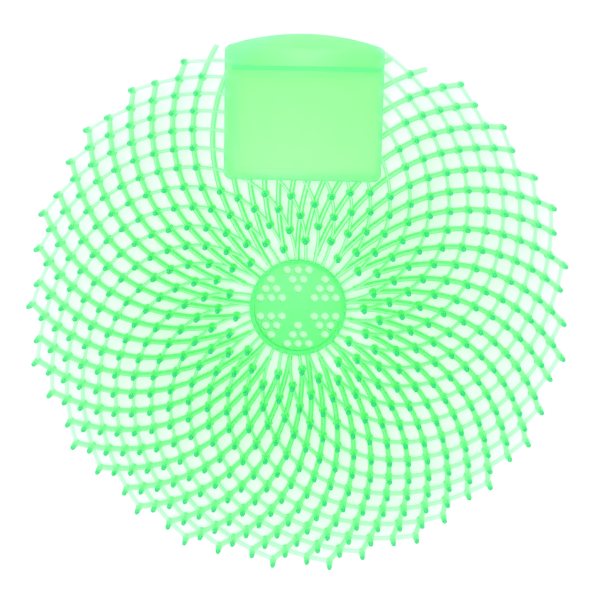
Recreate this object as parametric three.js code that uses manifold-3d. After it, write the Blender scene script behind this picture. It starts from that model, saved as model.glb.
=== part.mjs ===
// Urinal deodorizer screen: one flexible moulding in millimetres, +Z up.
// The origin is the middle of the hub's underside, and the finger plate points along +Y.
// A sunflower lattice of ribs runs from a perforated hub to a toothed rim, with an upright
// tapered post on each crossing, and a smooth plate with a raised finger lip at one edge.

import * as THREE from 'three';
import { mergeVertices } from 'three/addons/utils/BufferGeometryUtils.js';
import Module from 'manifold-3d';

// Spiral lattice: crossing number n lies at radius SPACING * (n + PHASE) ^ RADIAL_POWER
// and at angle START_DEG + TURN_DEG * n.
const SPACING = 3.83;
const RADIAL_POWER = 0.49;
const PHASE = 0.2922;
const TURN_DEG = -137.50285;
const START_DEG = -91.264;
const FIRST_NUMBER = 13;
const LAST_NUMBER = 645;
const STRONG_STEP = 55;
const THIN_STEP = 34;
const THIN_ARM_LAPS = 13;
const LOOSE_END_NUMBERS = [622, 640];

// Ribs: flat on top, and narrowing to a keel below.
const STRONG_WIDTH = 1.4;
const THIN_WIDTH = 0.95;
const RIB_HEIGHT = 2.5;
const STRAIGHT_SECTOR = THREE.MathUtils.degToRad(150);
const OPEN_SECTOR = THREE.MathUtils.degToRad(210);

// Posts on the crossings.
const POST_TIP_HEIGHT = 8.0;
const FIRST_POST_NUMBER = 30;
const POST_FOOT_RADIUS = 1.3;

// Hub: a ring round a perforated web.
const HUB_RADIUS = 16.3;
const HUB_RING_WIDTH = 1.5;
const HUB_RING_HEIGHT = 3.5;
const HUB_WEB_HEIGHT = 1.5;
const HUB_SIDES = 48;
const HOLE_RADIUS = 1.35;
const HOLE_EDGE_GAP = 0.33;
const HOLE_SIDES = 6;
const HOLE_FIRST_ROW = 2;
const HOLE_LAST_ROW = 4;
const THIN_ARM_SHORTEST_START = 1.0;

// Finger plate.
const PLATE_WIDTH = 51.9;
const PLATE_CENTRE_X = 1.9;
const PLATE_BOTTOM_Y = 42.8;
const PLATE_TOP_Y = 90.2;
const PLATE_TURN_DEG = -1.2;
const PLATE_THICKNESS = 3.0;
const PLATE_CORNER_RADIUS = 2.4;
const LIP_ARC_RADIUS = 80.4;
const CREASE_Y = 79.2;
const LIP_RISE = 2.4;
const LIP_THICKNESS = 2.0;
const BEAD_WIDTH = 1.3;
const BEAD_TOP_WIDTH = 0.65;
const BEAD_HEIGHT = 0.5;
const BEAD_LEFT_GAP = 2.4;
const BEAD_RIGHT_GAP = 0.5;
const PANEL_DEPTH = 0.4;
const PANEL_LEFT_MARGIN = 5.0;
const PANEL_RIGHT_MARGIN = 1.9;
const PANEL_BOTTOM_MARGIN = 3.6;
const PANEL_TOP_MARGIN = 2.8;
const RIB_OVERLAP_IN_PLATE = 0.8;
const RIB_TRACE_STEPS = 60;
const POST_GAP_BESIDE_PLATE = 5.5;
const POST_GAP_BELOW_PLATE = 2.5;
const CORNER_SEGMENTS = 4;
const ARC_SEGMENTS = 24;

// How far a cutting shape stands out past what it cuts, and how near two points are one.
const CUT_MARGIN = 1.0;
const SAME_POINT = 1e-5;

const wasm = await Module();
wasm.setup();

// Helpers between three.js geometry and solids for joins and cuts.
function solidOf(geometry) {
  const bare = geometry.clone();
  bare.deleteAttribute('normal');
  bare.deleteAttribute('uv');
  const merged = mergeVertices(bare, SAME_POINT);
  return new wasm.Manifold(new wasm.Mesh({
    numProp: 3,
    vertProperties: new Float32Array(merged.attributes.position.array),
    triVerts: new Uint32Array(merged.index.array),
  }));
}

function geometryOf(solid) {
  const mesh = solid.getMesh();
  const geometry = new THREE.BufferGeometry();
  geometry.setAttribute('position', new THREE.BufferAttribute(mesh.vertProperties, 3));
  geometry.setIndex(new THREE.BufferAttribute(mesh.triVerts, 1));
  geometry.computeVertexNormals();
  return geometry;
}

function pointAt(angle, radius) {
  return new THREE.Vector2(radius * Math.cos(angle), radius * Math.sin(angle));
}

function prism(shape, bottom, top) {
  const geometry = new THREE.ExtrudeGeometry(shape, { depth: top - bottom, bevelEnabled: false });
  geometry.translate(0, 0, bottom);
  return solidOf(geometry);
}

// Lattice numbers to places.
function latticePoint(number) {
  const radius = SPACING * (number + PHASE) ** RADIAL_POWER;
  const angle = THREE.MathUtils.degToRad(START_DEG + TURN_DEG * number);
  return pointAt(angle, radius);
}

// A thin arm goes on inwards past its first crossing on the same spiral, down to `radius`.
function thinArmStart(number, radius) {
  const startNumber = (radius / SPACING) ** (1 / RADIAL_POWER) - PHASE;
  const armTurnDeg = (THIN_STEP * TURN_DEG + THIN_ARM_LAPS * 360) / THIN_STEP;
  const angle = THREE.MathUtils.degToRad(
    START_DEG + TURN_DEG * number + armTurnDeg * (startNumber - number));
  return pointAt(angle, radius);
}

// The plate's own axes: x across it and y up it, from the middle of its lower edge.
const plateCentre = new THREE.Vector2(PLATE_CENTRE_X, (PLATE_BOTTOM_Y + PLATE_TOP_Y) / 2);
const plateTurn = THREE.MathUtils.degToRad(PLATE_TURN_DEG);
const plateLength = PLATE_TOP_Y - PLATE_BOTTOM_Y;
const creaseFromBottom = CREASE_Y - PLATE_BOTTOM_Y;

function toPlate(point) {
  return point.clone().rotateAround(plateCentre, -plateTurn)
    .sub(new THREE.Vector2(PLATE_CENTRE_X, PLATE_BOTTOM_Y));
}

function depthInPlate(point) {
  const local = toPlate(point);
  const arcCentreY = plateLength - LIP_ARC_RADIUS;
  return Math.min(
    PLATE_WIDTH / 2 - Math.abs(local.x),
    local.y,
    LIP_ARC_RADIUS - Math.hypot(local.x, local.y - arcCentreY));
}

// Crossings well within the plate, or beyond its arched top, are left out.
function isLeftOut(point) {
  const local = toPlate(point);
  const inset = RIB_OVERLAP_IN_PLATE;
  return Math.abs(local.x) < PLATE_WIDTH / 2 - inset && local.y > inset;
}

function hasPost(number, point) {
  if (number < FIRST_POST_NUMBER || LOOSE_END_NUMBERS.includes(number)) return false;
  const local = toPlate(point);
  const beside = Math.abs(local.x) < PLATE_WIDTH / 2 + POST_GAP_BESIDE_PLATE;
  return !(beside && local.y > -POST_GAP_BELOW_PLATE);
}

// The lattice as a graph: crossings, rib ends, and the ribs between them.
function layOutLattice() {
  const nodes = new Map();
  const ribs = [];
  const addNode = (key, point, post = false) => {
    nodes.set(key, { point, post, arms: [] });
    return key;
  };
  const join = (from, to, width) => ribs.push({ from, to, width });

  for (let number = FIRST_NUMBER; number <= LAST_NUMBER; number++) {
    const point = latticePoint(number);
    if (!isLeftOut(point)) addNode(number, point, hasPost(number, point));
  }

  const joinSteps = (number, step, width) => {
    const outer = number + step;
    if (outer > LAST_NUMBER) return;
    if (width === THIN_WIDTH && LOOSE_END_NUMBERS.includes(outer)) return;
    if (nodes.has(number) && nodes.has(outer)) {
      join(number, outer, width);
    } else if (nodes.has(number) || nodes.has(outer)) {
      const kept = nodes.has(number) ? number : outer;
      const hidden = nodes.has(number) ? outer : number;
      const start = nodes.get(kept).point;
      if (depthInPlate(start) > 0) return;
      join(kept, addNode(`${kept}-${hidden}`, endInPlate(start, latticePoint(hidden))), width);
    }
  };
  for (let number = FIRST_NUMBER; number <= LAST_NUMBER; number++) {
    joinSteps(number, STRONG_STEP, STRONG_WIDTH);
    joinSteps(number, THIN_STEP, THIN_WIDTH);
  }

  // Thin arms run on past the hub's ring, and strong arms begin at their first crossing.
  const startRadius = HUB_RADIUS - HUB_RING_WIDTH * 2;
  for (let number = FIRST_NUMBER; number < FIRST_NUMBER + THIN_STEP; number++) {
    const radius = Math.min(startRadius, latticePoint(number).length() - THIN_ARM_SHORTEST_START);
    join(number, addNode(`hub-${number}`, thinArmStart(number, radius)), THIN_WIDTH);
  }
  return { nodes, ribs };
}

// A rib that runs under the plate ends a little inside it, or else at its deepest point there.
function endInPlate(kept, hidden) {
  let best = null;
  let bestDepth = -Infinity;
  for (let step = 1; step <= RIB_TRACE_STEPS; step++) {
    const point = kept.clone().lerp(hidden, step / RIB_TRACE_STEPS);
    const depth = depthInPlate(point);
    if (depth > bestDepth) {
      best = point;
      bestDepth = depth;
    }
    if (depth >= RIB_OVERLAP_IN_PLATE) break;
  }
  return best;
}

// One corner of the flat top between two neighbouring ribs of a crossing. Where one rib
// nearly carries on as the other, the corner stands square to both. Where the ribs lie so
// far apart that the crossing is open on that side, there are two corners, and under a post
// a third one at the post's foot between them.
function sectorCorners(node, arm, next) {
  const sector = arm === next ? Math.PI * 2 : (next.angle - arm.angle + Math.PI * 2) % (Math.PI * 2);
  const left = arm.width / 2;
  const right = next.width / 2;
  const along = pointAt(arm.angle, 1);
  const alongNext = pointAt(next.angle, 1);
  const bisector = arm.angle + sector / 2;
  if (sector < STRAIGHT_SECTOR) {
    const corner = alongNext.clone().multiplyScalar(left).addScaledVector(along, right)
      .divideScalar(Math.sin(sector));
    return [corner.add(node.point)];
  }
  if (sector < OPEN_SECTOR) {
    const reach = (left + right) / 2 / Math.sin(sector / 2);
    return [pointAt(bisector, reach).add(node.point)];
  }
  const corners = [new THREE.Vector2(-along.y, along.x).multiplyScalar(left)];
  if (node.post) corners.push(pointAt(bisector, POST_FOOT_RADIUS));
  corners.push(new THREE.Vector2(alongNext.y, -alongNext.x).multiplyScalar(right));
  return corners.map((corner) => corner.add(node.point));
}

// The closed surface of ribs and posts, straight from the graph.
function latticeGeometry() {
  const { nodes, ribs } = layOutLattice();
  const positions = [];
  const triangles = [];
  const vertex = (x, y, z) => positions.push(x, y, z) / 3 - 1;

  for (const rib of ribs) {
    const from = nodes.get(rib.from);
    const to = nodes.get(rib.to);
    const way = to.point.clone().sub(from.point);
    from.arms.push({ rib, end: 'from', width: rib.width, angle: Math.atan2(way.y, way.x) });
    to.arms.push({ rib, end: 'to', width: rib.width, angle: Math.atan2(-way.y, -way.x) });
  }

  for (const node of nodes.values()) {
    node.arms.sort((a, b) => a.angle - b.angle);
    const { point, arms } = node;
    if (arms.length === 0) continue;
    node.keel = vertex(point.x, point.y, 0);
    const top = [];
    arms.forEach((arm, i) => {
      const next = arms[(i + 1) % arms.length];
      const corners = sectorCorners(node, arm, next).map((c) => vertex(c.x, c.y, RIB_HEIGHT));
      arm.leftCorner = corners[0];
      next.rightCorner = corners[corners.length - 1];
      top.push(...corners);
      for (let j = 1; j < corners.length; j++) triangles.push(corners[j], corners[j - 1], node.keel);
    });
    if (node.post) {
      const tip = vertex(point.x, point.y, POST_TIP_HEIGHT);
      top.forEach((corner, i) => triangles.push(corner, top[(i + 1) % top.length], tip));
    } else {
      for (let i = 1; i < top.length - 1; i++) triangles.push(top[0], top[i], top[i + 1]);
    }
  }

  for (const rib of ribs) {
    const a = nodes.get(rib.from);
    const b = nodes.get(rib.to);
    const start = a.arms.find((arm) => arm.rib === rib && arm.end === 'from');
    const finish = b.arms.find((arm) => arm.rib === rib && arm.end === 'to');
    const quad = (p, q, r, s) => triangles.push(p, q, r, p, r, s);
    quad(start.rightCorner, finish.leftCorner, finish.rightCorner, start.leftCorner);
    quad(start.leftCorner, finish.rightCorner, b.keel, a.keel);
    quad(finish.leftCorner, start.rightCorner, a.keel, b.keel);
  }

  const geometry = new THREE.BufferGeometry();
  geometry.setAttribute('position', new THREE.BufferAttribute(new Float32Array(positions), 3));
  geometry.setIndex(triangles);
  return geometry;
}

// Hub: hexagonal rows of holes, with the three rows through the middle left solid.
// The outermost holes keep HOLE_EDGE_GAP clear of the ring.
function holeCentres() {
  const centres = [];
  const reach = HUB_RADIUS - HUB_RING_WIDTH - HOLE_EDGE_GAP - HOLE_RADIUS;
  const farthestHole = Math.hypot(HOLE_LAST_ROW - 1 / 2, Math.sin(Math.PI / 3));
  const pitch = reach / farthestHole;
  for (let a = -HOLE_LAST_ROW; a <= HOLE_LAST_ROW; a++) {
    for (let b = -HOLE_LAST_ROW; b <= HOLE_LAST_ROW; b++) {
      const row = Math.max(Math.abs(a), Math.abs(b), Math.abs(a + b));
      const onSpoke = a === 0 || b === 0 || a + b === 0;
      if (row < HOLE_FIRST_ROW || row > HOLE_LAST_ROW || onSpoke) continue;
      centres.push(new THREE.Vector2(
        pitch * (a + b / 2),
        pitch * b * Math.sin(Math.PI / 3)));
    }
  }
  return centres;
}

function regularPath(PathClass, centre, radius, sides) {
  const path = new PathClass();
  const points = [];
  for (let i = 0; i < sides; i++) points.push(pointAt(i * Math.PI * 2 / sides, radius).add(centre));
  path.setFromPoints(points);
  path.closePath();
  return path;
}

const middle = new THREE.Vector2(0, 0);

function hubSolid() {
  const webRadius = HUB_RADIUS - HUB_RING_WIDTH / 2;
  const web = regularPath(THREE.Shape, middle, webRadius, HUB_SIDES);
  for (const centre of holeCentres()) {
    web.holes.push(regularPath(THREE.Path, centre, HOLE_RADIUS, HOLE_SIDES));
  }
  const ring = regularPath(THREE.Shape, middle, HUB_RADIUS, HUB_SIDES);
  ring.holes.push(regularPath(THREE.Path, middle, HUB_RADIUS - HUB_RING_WIDTH, HUB_SIDES));
  return prism(web, 0, HUB_WEB_HEIGHT).add(prism(ring, 0, HUB_RING_HEIGHT));
}

// Room for the hub inside the lattice: ribs end in the middle of the hub's ring.
function hubRoom() {
  const radius = HUB_RADIUS - HUB_RING_WIDTH / 2;
  const shape = regularPath(THREE.Shape, middle, radius, HUB_SIDES);
  return prism(shape, -CUT_MARGIN, POST_TIP_HEIGHT + CUT_MARGIN);
}

// Plate outline: square lower corners and an arched top, all with rounded corners.
function plateOutline() {
  const half = PLATE_WIDTH / 2;
  const r = PLATE_CORNER_RADIUS;
  const arcCentreY = plateLength - LIP_ARC_RADIUS;
  const innerX = half - r;
  const cornerY = arcCentreY + Math.sqrt((LIP_ARC_RADIUS - r) ** 2 - innerX ** 2);
  const lean = Math.atan2(innerX, cornerY - arcCentreY);
  const points = [];
  const arc = (x, y, radius, from, to, segments) => {
    for (let i = 0; i <= segments; i++) {
      const angle = from + (to - from) * i / segments;
      points.push(pointAt(angle, radius).add(new THREE.Vector2(x, y)));
    }
  };
  arc(-innerX, r, r, Math.PI, Math.PI * 1.5, CORNER_SEGMENTS);
  arc(innerX, r, r, -Math.PI / 2, 0, CORNER_SEGMENTS);
  arc(innerX, cornerY, r, 0, Math.PI / 2 - lean, CORNER_SEGMENTS);
  arc(0, arcCentreY, LIP_ARC_RADIUS, Math.PI / 2 - lean, Math.PI / 2 + lean, ARC_SEGMENTS);
  arc(-innerX, cornerY, r, Math.PI / 2 + lean, Math.PI, CORNER_SEGMENTS);
  return new THREE.Shape(points);
}

// A side profile in plate axes (y along, z up), drawn across the plate's width from x0 to x1.
function acrossPlate(profile, x0, x1) {
  const shape = new THREE.Shape(profile.map(([y, z]) => new THREE.Vector2(y, z)));
  const geometry = new THREE.ExtrudeGeometry(shape, { depth: x1 - x0, bevelEnabled: false });
  geometry.applyMatrix4(new THREE.Matrix4().makeBasis(
    new THREE.Vector3(0, 1, 0), new THREE.Vector3(0, 0, 1), new THREE.Vector3(1, 0, 0)));
  geometry.translate(x0, 0, 0);
  return solidOf(geometry);
}

function plateSolid() {
  const half = PLATE_WIDTH / 2;
  const crease = creaseFromBottom;
  const lipEnd = plateLength + CUT_MARGIN;
  const lipEndRise = LIP_RISE * (lipEnd - crease) / (plateLength - crease);
  const body = acrossPlate([
    [-CUT_MARGIN, 0],
    [crease, 0],
    [lipEnd, lipEndRise],
    [lipEnd, lipEndRise + LIP_THICKNESS],
    [crease, PLATE_THICKNESS],
    [-CUT_MARGIN, PLATE_THICKNESS],
  ], -half - CUT_MARGIN, half + CUT_MARGIN);
  const outline = prism(plateOutline(), -CUT_MARGIN, POST_TIP_HEIGHT + CUT_MARGIN);
  const bead = acrossPlate([
    [crease - BEAD_WIDTH / 2, PLATE_THICKNESS - BEAD_HEIGHT],
    [crease + BEAD_WIDTH / 2, PLATE_THICKNESS - BEAD_HEIGHT],
    [crease + BEAD_TOP_WIDTH / 2, PLATE_THICKNESS + BEAD_HEIGHT],
    [crease - BEAD_TOP_WIDTH / 2, PLATE_THICKNESS + BEAD_HEIGHT],
  ], -half + BEAD_LEFT_GAP, half - BEAD_RIGHT_GAP);
  const panel = acrossPlate([
    [PANEL_BOTTOM_MARGIN, PLATE_THICKNESS - PANEL_DEPTH],
    [crease - PANEL_TOP_MARGIN, PLATE_THICKNESS - PANEL_DEPTH],
    [crease - PANEL_TOP_MARGIN, PLATE_THICKNESS + CUT_MARGIN],
    [PANEL_BOTTOM_MARGIN, PLATE_THICKNESS + CUT_MARGIN],
  ], -half + PANEL_LEFT_MARGIN, half - PANEL_RIGHT_MARGIN);
  const placed = geometryOf(body.intersect(outline).subtract(panel).add(bead));
  placed.translate(0, -plateLength / 2, 0);
  placed.rotateZ(plateTurn);
  placed.translate(plateCentre.x, plateCentre.y, 0);
  return solidOf(placed);
}

// The whole moulding.
const lattice = solidOf(latticeGeometry()).subtract(hubRoom());
const screen = new THREE.Mesh(
  geometryOf(lattice.add(hubSolid()).add(plateSolid())),
  new THREE.MeshStandardMaterial({ color: 0x8cffa6, roughness: 0.35, metalness: 0 }));
screen.name = 'screen';

const part = new THREE.Group();
part.add(screen);

export default part;
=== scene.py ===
"""Urinal deodorizer screen: a soft, see-through green moulding lying on a white table."""

import math

import bmesh
import bpy
from mathutils import Matrix, Vector


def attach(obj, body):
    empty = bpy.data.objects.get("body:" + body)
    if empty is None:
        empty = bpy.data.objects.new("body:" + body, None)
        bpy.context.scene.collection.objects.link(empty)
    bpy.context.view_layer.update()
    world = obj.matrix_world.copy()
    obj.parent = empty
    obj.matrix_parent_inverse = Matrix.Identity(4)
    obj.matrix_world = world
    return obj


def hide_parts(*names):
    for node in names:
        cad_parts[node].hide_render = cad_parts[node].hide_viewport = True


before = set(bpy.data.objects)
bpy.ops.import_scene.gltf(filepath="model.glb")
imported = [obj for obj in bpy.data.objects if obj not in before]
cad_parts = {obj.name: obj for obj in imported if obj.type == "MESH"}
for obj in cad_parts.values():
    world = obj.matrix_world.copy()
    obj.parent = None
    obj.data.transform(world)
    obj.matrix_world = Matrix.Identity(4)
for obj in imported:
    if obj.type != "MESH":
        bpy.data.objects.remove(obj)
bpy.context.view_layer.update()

MM = 0.001

# Spiral lattice, with the same numbers as the part's source, in millimetres.
SPACING = 3.83
RADIAL_POWER = 0.49
PHASE = 0.2922
TURN_DEG = -137.50285
START_DEG = -91.264
FIRST_NUMBER = 13
LAST_NUMBER = 645
FIRST_POST_NUMBER = 30
STRONG_STEP, STRONG_LAPS, STRONG_SAMPLES = 55, 21, 4
THIN_STEP, THIN_LAPS, THIN_SAMPLES = 34, 13, 3
THIN_INNER_RADIUS = 12.5
LOOSE_END_NUMBERS = (622, 640)

# Ribs and posts. A profile lists radius and height.
RIB_HEIGHT = 2.5
RIB_FOOT_HEIGHT = 0.35
RIB_TOP_SHARE, RIB_FOOT_SHARE = 0.8, 1.25
STRONG_WIDTH = 1.4
THIN_WIDTH = 0.95
POST_SIDES = 8
POST_PROFILE = ((1.12, 2.7), (1.02, 4.0), (0.92, 6.0), (0.80, 7.3), (0.45, 7.9))
POST_FOOT = ((1.55, 0.0), (1.5, 0.5), (1.25, 1.9))
RIM_POST_FOOT = ((1.2, 0.3), (1.2, 2.0))

# Hub.
HUB_RADIUS = 16.3
HUB_RING_WIDTH = 1.5
HUB_RING_HEIGHT = 3.5
HUB_WEB_HEIGHT = 1.5
HUB_SIDES = 96
HUB_EDGE_RADIUS = 0.4
HOLE_RADIUS = 1.35
HOLE_PITCH = 3.64
HOLE_FIRST_ROW = 2
HOLE_LAST_ROW = 4
HOLE_SIDES = 20

# Finger plate.
PLATE_WIDTH = 51.9
PLATE_CENTRE_X = 1.9
PLATE_BOTTOM_Y = 42.8
PLATE_TOP_Y = 90.2
PLATE_TURN = math.radians(-1.2)
PLATE_THICKNESS = 3.0
PLATE_CORNER_RADIUS = 2.4
PLATE_CORNER_SEGMENTS = 8
PLATE_EDGE_RADIUS = 0.5
LIP_ARC_RADIUS = 80.4
LIP_ARC_SEGMENTS = 40
CREASE_Y = 79.2
LIP_RISE = 2.4
LIP_THICKNESS = 2.0
LIP_BEND_LINES = (-1.5, -0.75, 0, 0.75, 1.5, 4, 7)
BEAD_WIDTH = 1.3
BEAD_HEIGHT = 0.5
BEAD_EDGE_RADIUS = 0.4
BEAD_LEFT_GAP = 2.4
BEAD_RIGHT_GAP = 0.5
PANEL_DEPTH = 0.4
PANEL_CORNER_RADIUS = 1.2
PANEL_LEFT_MARGIN = 5.0
PANEL_RIGHT_MARGIN = 1.9
PANEL_BOTTOM_MARGIN = 3.6
PANEL_TOP_MARGIN = 2.8
RIB_OVERLAP_IN_PLATE = 0.8
POST_GAP_BESIDE_PLATE = 5.5
POST_GAP_BELOW_PLATE = 2.5
PLATE_CENTRE_Y = (PLATE_BOTTOM_Y + PLATE_TOP_Y) / 2
PLATE_LENGTH = PLATE_TOP_Y - PLATE_BOTTOM_Y
CREASE = CREASE_Y - PLATE_BOTTOM_Y

# Cutting tools reach past the part by this much, and heights this close are the same.
CUT_LOW, CUT_HIGH = -1, 9
SAME_HEIGHT = 1e-6
SMOOTH_ANGLE = math.radians(38)

# Where the green changes: by height, where painted shade deepens the posts' tips and the hub ring's top; by
# distance from the hub; and on the plate from its centre, where painted shade darkens its sides and lower
# edge and painted light marks the lip's upper corners.
TIP_BAND = (2.0, 6.5)
RIM_BAND = (45.0, 92.0)
PLATE_SIDE_BAND = (24.7, 25.7)
PLATE_FOOT_BAND = (-22.3, -23.4)
LIP_BAND = (12.5, 13.5)
# Circle outside which the lip's corners get painted light.
LIP_LIGHT_X, LIP_LIGHT_Y = 4.0, -8.0
LIP_LIGHT_BAND = (31.8, 34.0)
# Colour of the painted shade on upright walls.
WALL_SHADE_GREEN = (0.08, 0.66, 0.28)
RIM_CLEAR_GREEN = (0.90, 1.0, 0.95)
SATIN = 0.28

TABLE_DEPTH = 1.5
TABLE_GLOW = 0.12


# Lattice places, in millimetres.
def lattice_radius(number):
    return SPACING * (number + PHASE) ** RADIAL_POWER


def arm_point(number, first, step, laps):
    """The place `number` along the arm that starts at `first`; between crossings too."""
    arm_turn = (step * TURN_DEG + laps * 360) / step
    angle = math.radians(START_DEG + TURN_DEG * first + arm_turn * (number - first))
    return Vector((math.cos(angle), math.sin(angle))) * lattice_radius(number)


def to_plate(point):
    """A place measured from the middle of the plate's lower edge."""
    centre = Vector((PLATE_CENTRE_X, PLATE_CENTRE_Y))
    local = Matrix.Rotation(-PLATE_TURN, 2) @ (point - centre)
    return local + centre - Vector((PLATE_CENTRE_X, PLATE_BOTTOM_Y))


def is_left_out(point):
    local = to_plate(point)
    inset = RIB_OVERLAP_IN_PLATE
    return abs(local.x) < PLATE_WIDTH / 2 - inset and local.y > inset


def has_post(number, point):
    if number < FIRST_POST_NUMBER or number in LOOSE_END_NUMBERS or is_left_out(point):
        return False
    local = to_plate(point)
    beside = abs(local.x) < PLATE_WIDTH / 2 + POST_GAP_BESIDE_PLATE
    return not (beside and local.y > -POST_GAP_BELOW_PLATE)


def arm_runs(step, laps, has_loose_ends, samples, inner_radius=None):
    """The stretches of every arm of one family that show, as lists of places."""
    runs = []
    for first in range(FIRST_NUMBER, FIRST_NUMBER + step):
        steps = (LAST_NUMBER - first) // step
        if first + steps * step in LOOSE_END_NUMBERS and not has_loose_ends:
            steps -= 1
        run = []
        if inner_radius and lattice_radius(first) > inner_radius:
            start = (inner_radius / SPACING) ** (1 / RADIAL_POWER) - PHASE
            pieces = max(1, math.ceil((first - start) / step * samples))
            for i in range(pieces):
                run.append(arm_point(start + (first - start) * i / pieces, first, step, laps))
        for i in range(steps * samples + 1):
            point = arm_point(first + step * i / samples, first, step, laps)
            if is_left_out(point):
                if run:
                    runs.append(run + [point])
                run = []
                before = point
            else:
                if not run and i > 0:
                    run.append(before)
                run.append(point)
        if len(run) > 1:
            runs.append(run)
    return runs


# Solid building.
def as_object(name, bm, finish=None):
    bmesh.ops.recalc_face_normals(bm, faces=bm.faces)
    mesh = bpy.data.meshes.new(name)
    bm.to_mesh(mesh)
    bm.free()
    if finish:
        mesh.materials.append(finish)
    made = bpy.data.objects.new(name, mesh)
    bpy.context.scene.collection.objects.link(made)
    return made


def gathered(name, solids, finish=None):
    """Several small solids as one mesh."""
    bm = bmesh.new()
    for solid in solids:
        mesh = bpy.data.meshes.new("solid")
        solid.to_mesh(mesh)
        solid.free()
        bm.from_mesh(mesh)
        bpy.data.meshes.remove(mesh)
    return as_object(name, bm, finish)


def rib(run, width):
    """One rib: a section with a rounded top and a slightly broader foot, extruded along its run."""
    top, foot = width / 2 * RIB_TOP_SHARE, width / 2 * RIB_FOOT_SHARE
    right_half = [
        (foot * 0.8, 0.0),
        (foot, RIB_FOOT_HEIGHT),
        (top, RIB_HEIGHT - width * 0.4),
        (top * 0.9, RIB_HEIGHT - width * 0.14),
        (top * 0.5, RIB_HEIGHT),
    ]
    section = [(-x, z) for x, z in reversed(right_half)] + right_half
    bm = bmesh.new()
    ring = [bm.verts.new((x, 0, z)) for x, z in section]
    start_face = bm.faces.new(ring)
    edges = list(start_face.edges)

    def settle(verts, i):
        way = (run[min(i + 1, len(run) - 1)] - run[max(i - 1, 0)]).normalized()
        across = Vector((way.y, -way.x))
        for vert, (x, z) in zip(verts, section):
            vert.co = (*(run[i] + across * x), z)

    settle(ring, 0)
    for i in range(1, len(run)):
        extruded = bmesh.ops.extrude_edge_only(bm, edges=edges)["geom"]
        edges = [g for g in extruded if isinstance(g, bmesh.types.BMEdge)]
        fresh = {g for g in extruded if isinstance(g, bmesh.types.BMVert)}
        ring = [next(e.other_vert(v) for e in v.link_edges if e.other_vert(v) in fresh) for v in ring]
        settle(ring, i)
    bm.faces.new(ring)
    return bm


def post(number, place):
    """A tapered post with a rounded tip, on a foot that fills the corners between the ribs."""
    bm = bmesh.new()
    on_rim = number > LAST_NUMBER - STRONG_STEP
    (radius, height), *rest = (RIM_POST_FOOT if on_rim else POST_FOOT) + POST_PROFILE
    verts = bmesh.ops.create_circle(bm, cap_ends=True, segments=POST_SIDES, radius=radius)["verts"]
    edges = list(bm.edges)
    bmesh.ops.translate(bm, verts=verts, vec=(0, 0, height))
    for next_radius, next_height in rest:
        extruded = bmesh.ops.extrude_edge_only(bm, edges=edges)["geom"]
        edges = [g for g in extruded if isinstance(g, bmesh.types.BMEdge)]
        verts = [g for g in extruded if isinstance(g, bmesh.types.BMVert)]
        share = next_radius / radius
        bmesh.ops.scale(bm, verts=verts, vec=(share, share, 1))
        bmesh.ops.translate(bm, verts=verts, vec=(0, 0, next_height - height))
        radius, height = next_radius, next_height
    bmesh.ops.contextual_create(bm, geom=edges)
    turn = Matrix.Rotation(math.atan2(place.y, place.x), 4, "Z")
    bmesh.ops.transform(bm, matrix=Matrix.Translation((place.x, place.y, 0)) @ turn, verts=bm.verts)
    return bm


def disc(radius, low, high, sides, place=(0, 0)):
    """An upright round solid."""
    bm = bmesh.new()
    bmesh.ops.create_cone(
        bm, cap_ends=True, segments=sides, radius1=radius, radius2=radius, depth=high - low,
        matrix=Matrix.Translation((*place, (low + high) / 2)))
    return bm


def block(x0, x1, y0, y1, z0, z1):
    bm = bmesh.new()
    size = Matrix.Diagonal((x1 - x0, y1 - y0, z1 - z0, 1))
    middle = Matrix.Translation(((x0 + x1) / 2, (y0 + y1) / 2, (z0 + z1) / 2))
    bmesh.ops.create_cube(bm, size=1, matrix=middle @ size)
    return bm


def is_level(edge):
    return abs(edge.verts[0].co.z - edge.verts[1].co.z) < SAME_HEIGHT


def rounded_edges(bm, edges, radius, segments=2):
    bmesh.ops.bevel(
        bm, geom=edges, offset=radius, offset_type="OFFSET", affect="EDGES", segments=segments,
        profile=0.5, material=-1, clamp_overlap=True)


def combine(target, tool, operation):
    """Joins or cuts two closed solids, and keeps the result in the first."""
    step = target.modifiers.new("step", "BOOLEAN")
    step.operation = operation
    step.solver = "MANIFOLD"
    step.material_mode = "TRANSFER"
    step.object = tool
    bpy.context.view_layer.update()
    evaluated = target.evaluated_get(bpy.context.evaluated_depsgraph_get())
    shaped = bpy.data.meshes.new_from_object(evaluated)
    target.modifiers.clear()
    target.data = shaped
    bpy.data.objects.remove(tool)


def hole_places():
    """Rows of a hexagonal grid of holes, without the three rows that cross the middle."""
    places = []
    for a in range(-HOLE_LAST_ROW, HOLE_LAST_ROW + 1):
        for b in range(-HOLE_LAST_ROW, HOLE_LAST_ROW + 1):
            row = max(abs(a), abs(b), abs(a + b))
            on_spoke = a == 0 or b == 0 or a + b == 0
            if HOLE_FIRST_ROW <= row <= HOLE_LAST_ROW and not on_spoke:
                places.append((HOLE_PITCH * (a + b / 2), HOLE_PITCH * b * math.sin(math.pi / 3)))
    return places


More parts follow.
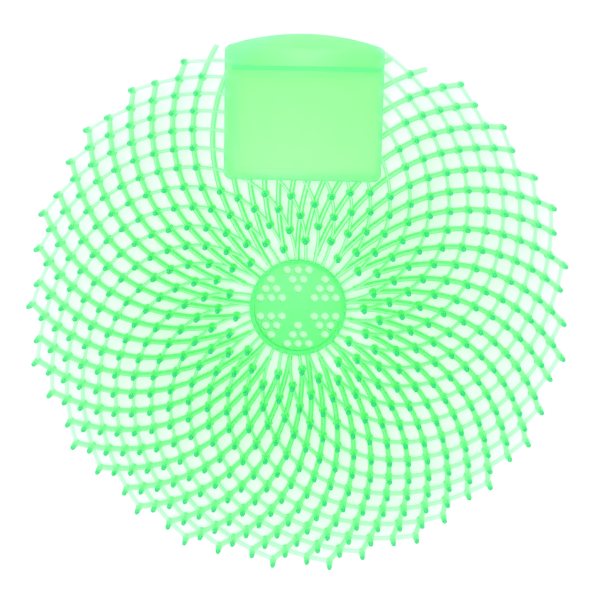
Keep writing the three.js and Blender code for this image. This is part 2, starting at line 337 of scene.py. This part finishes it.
def plate_outline():
    """The plate's outline from above: straight sides and an arched top with rounded corners."""
    half, r = PLATE_WIDTH / 2, PLATE_CORNER_RADIUS
    arc_y = PLATE_LENGTH - LIP_ARC_RADIUS
    inner = half - r
    corner_y = arc_y + math.sqrt((LIP_ARC_RADIUS - r) ** 2 - inner ** 2)
    lean = math.atan2(inner, corner_y - arc_y)
    outline = []

    def arc(x, y, radius, start, end, segments=PLATE_CORNER_SEGMENTS):
        for i in range(segments + 1):
            angle = start + (end - start) * i / segments
            outline.append((x + radius * math.cos(angle), y + radius * math.sin(angle)))

    arc(-inner, r, r, math.pi, math.pi * 1.5)
    arc(inner, r, r, -math.pi / 2, 0)
    arc(inner, corner_y, r, 0, math.pi / 2 - lean)
    arc(0, arc_y, LIP_ARC_RADIUS, math.pi / 2 - lean, math.pi / 2 + lean, LIP_ARC_SEGMENTS)
    arc(-inner, corner_y, r, math.pi / 2 + lean, math.pi)
    return outline


def plate_blank():
    """The plate's plan shape, thickened, with a softened rim, and cut into strips for the bend."""
    bm = bmesh.new()
    bm.faces.new([bm.verts.new((x, y, 0)) for x, y in plate_outline()])
    bmesh.ops.remove_doubles(bm, verts=bm.verts, dist=1e-3)
    extruded = bmesh.ops.extrude_face_region(bm, geom=bm.faces[:])["geom"]
    lifted = [g for g in extruded if isinstance(g, bmesh.types.BMVert)]
    bmesh.ops.translate(bm, verts=lifted, vec=(0, 0, PLATE_THICKNESS))
    rims = [e for e in bm.edges if is_level(e)]
    bmesh.ops.recalc_face_normals(bm, faces=bm.faces)
    rounded_edges(bm, rims, PLATE_EDGE_RADIUS, 3)
    for line in LIP_BEND_LINES:
        everything = bm.verts[:] + bm.edges[:] + bm.faces[:]
        bmesh.ops.bisect_plane(bm, geom=everything, plane_co=(0, CREASE + line, 0), plane_no=(0, 1, 0))
    return bm


def lift_lip(bm):
    """Bends the strip beyond the crease gently upwards and thins it."""
    for vert in bm.verts:
        beyond = vert.co.y - CREASE
        if beyond > 0:
            share = beyond / (PLATE_LENGTH - CREASE)
            thin = 1 - (1 - LIP_THICKNESS / PLATE_THICKNESS) * share
            vert.co.z = vert.co.z * thin + LIP_RISE * share
    return bm


def place_plate(bm):
    bmesh.ops.translate(bm, verts=bm.verts, vec=(0, -PLATE_LENGTH / 2, 0))
    turn = Matrix.Rotation(PLATE_TURN, 4, "Z")
    centre = (PLATE_CENTRE_X, PLATE_CENTRE_Y, 0)
    bmesh.ops.transform(bm, matrix=Matrix.Translation(centre) @ turn, verts=bm.verts)
    return bm


# The parts of the moulding.
def build_lattice(finishes):
    strong_runs = arm_runs(STRONG_STEP, STRONG_LAPS, True, STRONG_SAMPLES)
    thin_runs = arm_runs(THIN_STEP, THIN_LAPS, False, THIN_SAMPLES, THIN_INNER_RADIUS)
    strong = [rib(run, STRONG_WIDTH) for run in strong_runs]
    thin = [rib(run, THIN_WIDTH) for run in thin_runs]
    numbers = range(FIRST_NUMBER, LAST_NUMBER + 1)
    places = [(n, arm_point(n, n, STRONG_STEP, STRONG_LAPS)) for n in numbers]
    posts = [post(n, p) for n, p in places if has_post(n, p)]
    lattice = gathered("strong_ribs", strong, finishes["strong_ribs"])
    combine(lattice, gathered("thin_ribs", thin, finishes["thin_ribs"]), "UNION")
    combine(lattice, gathered("posts", posts, finishes["posts"]), "UNION")
    return lattice


def build_hub(finishes):
    ring = disc(HUB_RADIUS, 0, HUB_RING_HEIGHT, HUB_SIDES)
    rounded_edges(ring, [e for e in ring.edges if is_level(e)], HUB_EDGE_RADIUS)
    hub = as_object("hub", ring, finishes["hub"])
    well = disc(HUB_RADIUS - HUB_RING_WIDTH, HUB_WEB_HEIGHT, CUT_HIGH, HUB_SIDES)
    combine(hub, as_object("well", well), "DIFFERENCE")
    holes = [disc(HOLE_RADIUS, CUT_LOW, CUT_HIGH, HOLE_SIDES, place) for place in hole_places()]
    combine(hub, gathered("holes", holes), "DIFFERENCE")
    return hub


def build_plate(finishes):
    half = PLATE_WIDTH / 2
    plate = as_object("plate", place_plate(lift_lip(plate_blank())), finishes["plate"])
    panel = block(
        -half + PANEL_LEFT_MARGIN, half - PANEL_RIGHT_MARGIN,
        PANEL_BOTTOM_MARGIN, CREASE - PANEL_TOP_MARGIN,
        PLATE_THICKNESS - PANEL_DEPTH, PLATE_THICKNESS + 3)
    rounded_edges(panel, [e for e in panel.edges if not is_level(e)], PANEL_CORNER_RADIUS, 4)
    combine(plate, as_object("panel", place_plate(panel), finishes["panel"]), "DIFFERENCE")
    bead = block(
        -half + BEAD_LEFT_GAP, half - BEAD_RIGHT_GAP,
        CREASE - BEAD_WIDTH / 2, CREASE + BEAD_WIDTH / 2,
        PLATE_THICKNESS - BEAD_HEIGHT, PLATE_THICKNESS + BEAD_HEIGHT)
    bead_top = [e for e in bead.edges if min(v.co.z for v in e.verts) > PLATE_THICKNESS]
    rounded_edges(bead, bead_top, BEAD_EDGE_RADIUS, 3)
    combine(plate, as_object("bead", place_plate(bead), finishes["bead"]), "UNION")
    return plate


def build_screen(finishes):
    screen = build_lattice(finishes)
    room = disc(HUB_RADIUS - HUB_RING_WIDTH / 2, CUT_LOW, CUT_HIGH, HUB_SIDES)
    combine(screen, as_object("hub_room", room), "DIFFERENCE")
    combine(screen, build_hub(finishes), "UNION")
    combine(screen, build_plate(finishes), "UNION")

    bm = bmesh.new()
    bm.from_mesh(screen.data)
    bmesh.ops.scale(bm, verts=bm.verts, vec=(MM, MM, MM))
    for face in bm.faces:
        face.smooth = True
    for edge in bm.edges:
        edge.smooth = edge.calc_face_angle(math.pi) < SMOOTH_ANGLE
    used = list(screen.data.materials)
    bpy.data.objects.remove(screen)
    made = as_object("screen_moulding", bm)
    for finish in used:
        made.data.materials.append(finish)
    return made


# Shader maths on sockets.
class Socket:
    def __init__(self, shader, value):
        self.shader = shader
        self.value = value

    def _math(self, operation, first, second):
        node = self.shader.tree.nodes.new("ShaderNodeMath")
        node.operation = operation
        for socket, given in zip(node.inputs, (first, second)):
            self.shader.feed(socket, given)
        return Socket(self.shader, node.outputs[0])

    def __add__(self, other):
        return self._math("ADD", self, other)

    def __radd__(self, other):
        return self._math("ADD", other, self)

    def __sub__(self, other):
        return self._math("SUBTRACT", self, other)

    def __rsub__(self, other):
        return self._math("SUBTRACT", other, self)

    def __mul__(self, other):
        return self._math("MULTIPLY", self, other)

    def __rmul__(self, other):
        return self._math("MULTIPLY", other, self)

    def clamp(self):
        return self.shader.node("ShaderNodeClamp", {}, Value=self)


class Shader:
    """A material's node tree, with one method that adds any node."""

    def __init__(self, name):
        self.material = bpy.data.materials.new(name)
        self.material.use_nodes = True
        self.tree = self.material.node_tree
        self.tree.nodes.clear()

    def feed(self, socket, given):
        if isinstance(given, Socket):
            self.tree.links.new(given.value, socket)
        else:
            socket.default_value = given

    def mix_colour(self, share, first, second):
        made = self.tree.nodes.new("ShaderNodeMix")
        made.data_type = "RGBA"
        colours = [socket for socket in made.inputs if socket.type == "RGBA"]
        for socket, given in zip([made.inputs[0], *colours], (share, first, second)):
            self.feed(socket, given)
        return Socket(self, next(socket for socket in made.outputs if socket.type == "RGBA"))

    def mix_shaders(self, share, first, second):
        made = self.tree.nodes.new("ShaderNodeMixShader")
        for socket, given in zip(made.inputs, (share, first, second)):
            self.feed(socket, given)
        return Socket(self, made.outputs[0])

    def node(self, kind, settings, output=0, **inputs):
        made = self.tree.nodes.new(kind)
        for key, value in settings.items():
            setattr(made, key, value)
        for key, value in inputs.items():
            self.feed(made.inputs[key.replace("_", " ")], value)
        return None if output is None else Socket(self, made.outputs[output])


def axis_mm(s, vector, axis):
    return s.node("ShaderNodeSeparateXYZ", {}, axis, Vector=vector) * (1 / MM)


def length_mm(s, vector):
    return s.node("ShaderNodeVectorMath", {"operation": "LENGTH"}, "Value", Vector=vector) * (1 / MM)


def measured_from(s, vector, place):
    made = s.node("ShaderNodeVectorMath", {"operation": "SUBTRACT"}, "Vector", Vector=vector)
    s.feed(made.value.node.inputs[1], place)
    return made


def ramp(s, value, band):
    """0 where the band starts and 1 where it ends."""
    start, end = band
    return s.node("ShaderNodeMapRange", {}, "Result", Value=value, From_Min=start, From_Max=end)


def plate_edge(s, place):
    """1 at the plate's sides and at its lower edge, for painted shade, and on the pale corners of its lip,
    for painted light, else 0.
    """
    offset = measured_from(s, place, (PLATE_CENTRE_X * MM, PLATE_CENTRE_Y * MM, 0))
    local = s.node("ShaderNodeMapping", {}, "Vector", Vector=offset, Rotation=(0, 0, -PLATE_TURN))
    across = s.node("ShaderNodeMath", {"operation": "ABSOLUTE"}, Value=axis_mm(s, local, "X"))
    along = axis_mm(s, local, "Y")
    # Painted shade along the plate's sides and lower edge.
    side = ramp(s, across, PLATE_SIDE_BAND)
    foot = ramp(s, along, PLATE_FOOT_BAND)
    # Painted light on the lip's upper corners, standing for the lit table under the raised lip.
    from_lip_light = measured_from(s, local, (LIP_LIGHT_X * MM, LIP_LIGHT_Y * MM, 0))
    painted_lip_light = ramp(s, length_mm(s, from_lip_light), LIP_LIGHT_BAND)
    return (side + foot + painted_lip_light * ramp(s, along, LIP_BAND)).clamp()


def soft_green(name, low, through, clear_low, high=None, clear_high=None, clear_rim=0.0,
               glow_depth=0.004, shine=1.3, edges=False, fade=0.0, outline=0.0):
    """See-through green plastic. Its colour and clearness run from the ribs' height (low) up to
    the posts' tips (high), painted shade that deepens the tips, or with `edges` from the plate's middle
    to its edges, painted shade at the sides and lower edge and painted light on the lip's corners.
    `through` is the colour seen through it. Steep sides are clearer than flat tops, `clear_rim` and
    `fade` make it clearer towards the screen's rim, and `outline` paints shade on upright walls."""
    high = low if high is None else high
    clear_high = clear_low if clear_high is None else clear_high
    s = Shader(name)
    place = s.node("ShaderNodeTexCoord", {}, "Object")
    normal = s.node("ShaderNodeTexCoord", {}, "Normal")
    upright = s.node("ShaderNodeSeparateXYZ", {}, "Z", Vector=normal)
    rim = ramp(s, length_mm(s, place), RIM_BAND)
    haze = s.node("ShaderNodeTexNoise", {}, "Fac", Vector=place, Scale=900.0, Detail=3.0)
    cloud = s.node("ShaderNodeTexNoise", {}, "Fac", Vector=place, Scale=60.0, Detail=2.0)
    # Share of the `high` colour: on the plate its painted edge shade and lip light, elsewhere painted shade
    # rising to the tips.
    share = plate_edge(s, place) if edges else ramp(s, axis_mm(s, place, "Z"), TIP_BAND)
    steep = (1 - upright).clamp()
    # Painted shade: upright walls are made darker and less clear.
    wall_shade = (1 - upright * upright).clamp() * outline
    tint = s.mix_colour(share, (*low, 1), (*high, 1))
    tint = s.mix_colour(wall_shade, tint, (*WALL_SHADE_GREEN, 1))
    clear = clear_low + share * (clear_high - clear_low) + rim * clear_rim + cloud * 0.16 - 0.08
    clear = clear + steep * 0.2 - wall_shade * 0.5
    bump = s.node("ShaderNodeBump", {}, 0, Height=haze, Strength=0.08, Distance=0.0002)
    body = s.node(
        "ShaderNodeBsdfPrincipled", {}, 0, Base_Color=tint, Normal=bump, Roughness=SATIN, IOR=shine,
        Subsurface_Weight=1.0, Subsurface_Radius=(0.7, 1.0, 0.75), Subsurface_Scale=glow_depth)
    seen_through = s.node("ShaderNodeBsdfTransparent", {}, 0, Color=(*through, 1))
    thinned = s.node("ShaderNodeBsdfTransparent", {}, 0, Color=(*RIM_CLEAR_GREEN, 1))
    plastic = s.mix_shaders(clear.clamp(), body, seen_through)
    plastic = s.mix_shaders(rim * fade, plastic, thinned)
    gloss = s.node("ShaderNodeBsdfAnisotropic", {}, 0, Normal=bump, Roughness=SATIN)
    inside = s.node("ShaderNodeNewGeometry", {}, "Backfacing")
    sheen = s.node("ShaderNodeFresnel", {}, 0, IOR=shine) * (1 - inside) * upright.clamp()
    s.node("ShaderNodeOutputMaterial", {}, None, Surface=s.mix_shaders(sheen, plastic, gloss))
    return s.material


finishes = {
    "strong_ribs": soft_green(
        "soft_green_ribs", (0.18, 0.98, 0.32), (0.56, 1.0, 0.63), 0.64,
        clear_rim=0.30, shine=1.6, fade=0.45),
    "thin_ribs": soft_green(
        "soft_green_thin_ribs", (0.24, 0.98, 0.36), (0.68, 1.0, 0.74), 0.72,
        clear_rim=0.26, shine=1.6, fade=0.60),
    # The posts' dark `high` colour is painted shade deepening their tips.
    "posts": soft_green(
        "soft_green_posts", (0.16, 1.0, 0.32), (0.50, 1.0, 0.60), 0.80,
        high=(0.04, 0.64, 0.25), clear_high=-0.05, clear_rim=0.08, glow_depth=0.0008, shine=1.1, fade=0.15),
    # The hub's darker `high` colour is painted shade on its ring's top; `outline` paints shade on its
    # walls.
    "hub": soft_green(
        "soft_green_hub", (0.16, 0.98, 0.28), (0.52, 1.0, 0.62), 0.42,
        high=(0.10, 0.95, 0.24), clear_high=0.40, outline=0.5),
    # The plate's `high` colour paints shade at its sides and lower edge and light on its lip's corners.
    "plate": soft_green(
        "soft_green_plate", (0.29, 0.99, 0.34), (0.74, 1.0, 0.78), 0.52,
        high=(0.27, 0.93, 0.43), clear_high=0.56, edges=True, outline=0.8),
    "panel": soft_green("soft_green_panel", (0.34, 1.0, 0.33), (0.77, 1.0, 0.77), 0.58),
    "bead": soft_green(
        "soft_green_bead", (0.16, 0.90, 0.34), (0.50, 1.0, 0.60), 0.30, glow_depth=0.001, shine=1.2),
}
screen = build_screen(finishes)
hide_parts("screen")
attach(screen, "root")


# White table, which glows a little where it is seen, so that it is white in the picture.
def white_table():
    s = Shader("white_table")
    ray = s.node("ShaderNodeLightPath", {}).value.node.outputs
    seen = Socket(s, ray["Is Camera Ray"]) + Socket(s, ray["Is Glossy Ray"])
    seen = (seen + Socket(s, ray["Is Transmission Ray"])).clamp()
    diffuse = s.node("ShaderNodeBsdfDiffuse", {}, 0, Color=(0.95, 0.95, 0.95, 1))
    glow = s.node("ShaderNodeEmission", {}, 0, Color=(1, 1, 1, 1), Strength=seen * TABLE_GLOW)
    surface = s.node("ShaderNodeAddShader", {})
    for socket, given in zip(surface.value.node.inputs, (diffuse, glow)):
        s.feed(socket, given)
    s.node("ShaderNodeOutputMaterial", {}, None, Surface=surface)
    return s.material


table = bmesh.new()
bmesh.ops.create_grid(
    table, x_segments=1, y_segments=1, size=3.0, matrix=Matrix.Translation((0, 0, -TABLE_DEPTH * MM)))
table = as_object("table", table)
table.data.materials.append(white_table())

# Light: a pale room that the camera sees as pure white, one broad lamp and a small one overhead.
world = bpy.data.worlds.new("room")
bpy.context.scene.world = world
world.use_nodes = True
room = world.node_tree
backdrop = room.nodes.new("ShaderNodeLightPath").outputs["Is Camera Ray"]
strength = room.nodes.new("ShaderNodeMapRange")
strength.inputs["To Min"].default_value = 0.9
strength.inputs["To Max"].default_value = 1.0
room.links.new(backdrop, strength.inputs["Value"])
room.links.new(strength.outputs["Result"], room.nodes["Background"].inputs["Strength"])
room.nodes["Background"].inputs["Color"].default_value = (1, 1, 1, 1)


def round_lamp(name, place, aim, size, power):
    light = bpy.data.lights.new(name, "AREA")
    light.shape = "DISK"
    light.size = size
    light.energy = power
    lamp = bpy.data.objects.new(name, light)
    lamp.location = place
    lamp.rotation_euler = (Vector(aim) - Vector(place)).to_track_quat("-Z", "Y").to_euler()
    bpy.context.scene.collection.objects.link(lamp)


round_lamp("soft_lamp", place=(-0.4, 0.5, 0.9), aim=(0, 0, 0), size=0.6, power=3.0)
round_lamp("overhead_lamp", place=(-0.022, -0.061, 0.9), aim=(-0.002, 0.03, 0), size=0.15, power=1.5)

# Camera above the screen, leaning a little from the plate's side.
CAMERA_PLACE = (0.006785, 0.070259, 0.397283)
CAMERA_LOOK = (-0.01516, -0.16857, -0.98557)
CAMERA_UP = (-0.00259, 0.98569, -0.16855)
camera_data = bpy.data.cameras.new("camera")
camera_data.lens = 71.4
camera_data.sensor_width = 36
camera = bpy.data.objects.new("camera", camera_data)
bpy.context.scene.collection.objects.link(camera)
bpy.context.scene.camera = camera
look = Vector(CAMERA_LOOK).normalized()
right = look.cross(Vector(CAMERA_UP)).normalized()
up = right.cross(look)
turn = Matrix((right, up, -look)).transposed().to_4x4()
camera.matrix_world = Matrix.Translation(CAMERA_PLACE) @ turn

bpy.context.scene.view_settings.view_transform = "Standard"
